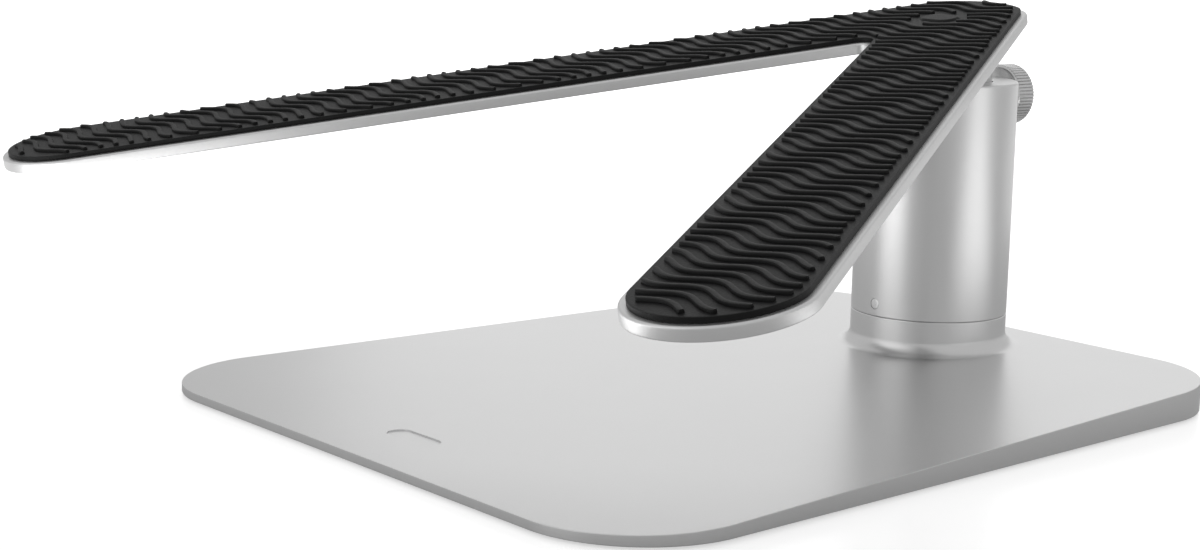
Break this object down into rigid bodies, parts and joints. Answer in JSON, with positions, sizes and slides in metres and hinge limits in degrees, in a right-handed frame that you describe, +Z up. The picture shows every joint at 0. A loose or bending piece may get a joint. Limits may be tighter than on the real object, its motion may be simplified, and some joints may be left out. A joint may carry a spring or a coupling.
{
  "type": "laptop stand",
  "caption": "Height-adjustable laptop stand: wedge-shaped metal base, round column with a sliding post and clamp knob, and a tilted V-shaped rest with a ribbed rubber pad.",
  "frame": {"origin": "the point where the column's axis meets the underside of the foot pad, on the surface the stand rests on", "axes": "+Z up along the column; +X to the user's right, along the base's front edge; -Y towards the user, so the V opens to -Y and the knob is on the +Y side"},
  "size_m": [0.2352, 0.1951, 0.0816],
  "materials": {
    "base_metal": "fine bead-blasted satin silver",
    "column_aluminium": "fine bead-blasted satin anodised",
    "plate_aluminium": "satin anodised, finely brushed edge",
    "knob_aluminium": "satin, straight knurl round the rim",
    "post_aluminium": "satin turned",
    "block_aluminium": "satin machined",
    "liner_steel": "plain drawn steel",
    "pin_steel": "satin",
    "fastener_steel": "zinc plated",
    "brass": "turned",
    "guide_plastic": "natural acetal",
    "black_plastic": "matte moulded",
    "pad_rubber": "matte moulded silicone rubber with wavy ridges",
    "foot_rubber": "matte sheet rubber"
  },
  "bodies": {
    "stand": {"base_plate": "base_metal", "foot_pad": "foot_rubber", "base_bolt": "fastener_steel", "base_dowel": "fastener_steel", "liner_cup": "liner_steel", "column": "column_aluminium", "lock_pin": "pin_steel", "upper_bush": "guide_plastic", "thread_insert": "brass"},
    "carriage": {"post": "post_aluminium", "slide_ring": "guide_plastic", "post_plug": "black_plastic", "head_block": "block_aluminium", "head_dowel": "fastener_steel", "head_bolt": "fastener_steel", "v_plate": "plate_aluminium", "plate_screws": "fastener_steel", "v_pad": "pad_rubber"},
    "clamp_tip": {"clamp_shoe": "brass"},
    "clamp_screw": {"clamp_stud": "fastener_steel", "knob": "knob_aluminium"}
  },
  "joints": [
    {"name": "height_slide", "type": "slide", "parent": "stand", "child": "carriage", "axis": [0, 0, 1], "range_m": [0, 0.036]},
    {"name": "clamp_feed", "type": "slide", "parent": "stand", "child": "clamp_tip", "axis": [0, 1, 0], "range_m": [0, 0.001]},
    {"name": "knob_turn", "type": "hinge", "parent": "clamp_tip", "child": "clamp_screw", "pos_m": [0, 0.0186, 0.0602], "axis": [0, 1, 0], "range_deg": [0, 360]}
  ],
  "couplings": [
    {"joint": "knob_turn", "follows": "clamp_feed", "rad_per_m": 6283.2}
  ]
}
